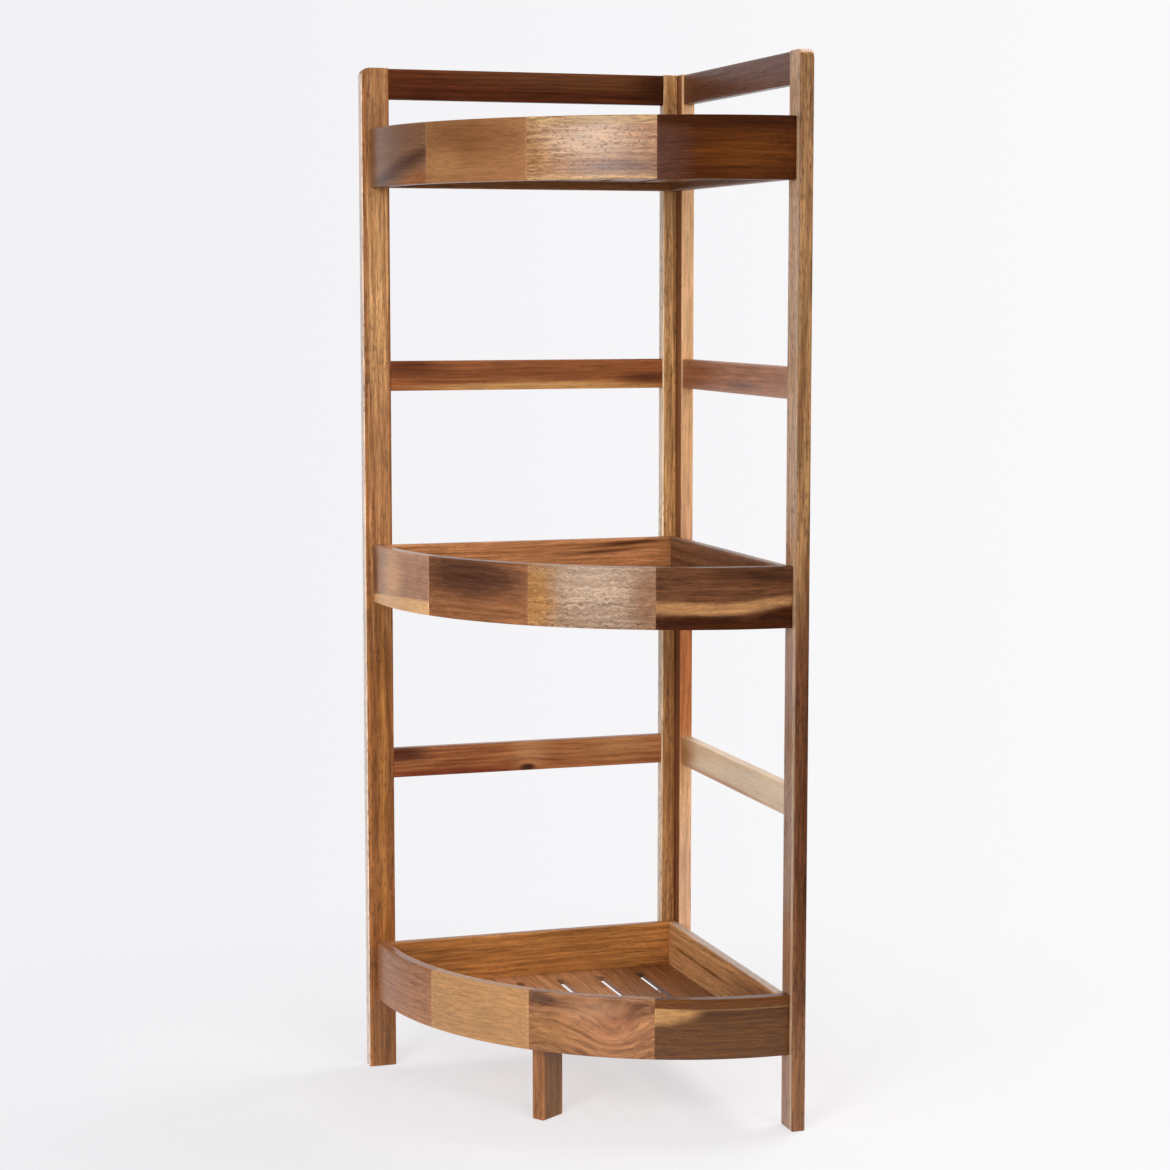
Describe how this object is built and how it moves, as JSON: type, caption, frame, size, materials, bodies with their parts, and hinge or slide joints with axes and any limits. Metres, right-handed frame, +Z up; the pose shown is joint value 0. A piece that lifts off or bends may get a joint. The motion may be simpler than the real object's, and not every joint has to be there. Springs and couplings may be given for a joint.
{
  "type": "corner shelf unit",
  "caption": "Free-standing wooden corner shelf: ladder frames at a right angle carry quarter-round trays with curved fronts and slotted floors, for storing things in a room corner.",
  "frame": {"origin": "middle of the square footprint, on the floor", "axes": "+Z up; the left ladder stands along the +Y side and the right ladder along the +X side, so the back corner is at +X, +Y and the curved fronts face -X, -Y"},
  "size_m": [0.3, 0.3, 0.88],
  "materials": {
    "honey_wood": "oiled, satin, golden brown with streaks",
    "pale_wood": "oiled, satin, pale sapwood with brown streaks",
    "brown_wood": "oiled, satin, mid brown with dark streaks",
    "red_wood": "oiled, satin, red-brown",
    "grey_wood": "oiled, satin, greyish brown",
    "dowel_wood": "plain hardwood dowel, glued in",
    "dark_wood": "oiled, satin, very dark brown"
  },
  "bodies": {
    "root": {"left_front_post": "honey_wood", "left_back_post": "honey_wood", "left_top_rail": "dark_wood", "left_middle_rail": "red_wood", "left_low_rail": "red_wood", "right_front_post": "brown_wood", "right_back_post": "honey_wood", "right_top_rail": "dark_wood", "right_middle_rail": "grey_wood", "right_low_rail": "pale_wood", "top_tray_left_side": "brown_wood", "top_tray_right_side": "brown_wood", "top_tray_front_block_1": "grey_wood", "top_tray_front_block_2": "honey_wood", "top_tray_front_block_3": "pale_wood", "top_tray_front_block_4": "red_wood", "top_tray_slotted_floor": "brown_wood", "middle_tray_left_side": "brown_wood", "middle_tray_right_side": "brown_wood", "middle_tray_front_block_1": "grey_wood", "middle_tray_front_block_2": "dark_wood", "middle_tray_front_block_3": "grey_wood", "middle_tray_front_block_4": "brown_wood", "middle_tray_slotted_floor": "brown_wood", "bottom_tray_left_side": "honey_wood", "bottom_tray_right_side": "honey_wood", "bottom_tray_front_block_1": "red_wood", "bottom_tray_front_block_2": "honey_wood", "bottom_tray_front_block_3": "red_wood", "bottom_tray_front_block_4": "brown_wood", "bottom_tray_slotted_floor": "brown_wood", "top_tray_dowels": "dowel_wood", "middle_tray_dowels": "dowel_wood", "bottom_tray_dowels": "dowel_wood", "front_leg": "brown_wood", "front_leg_dowel": "dowel_wood"}
  },
  "joints": []
}
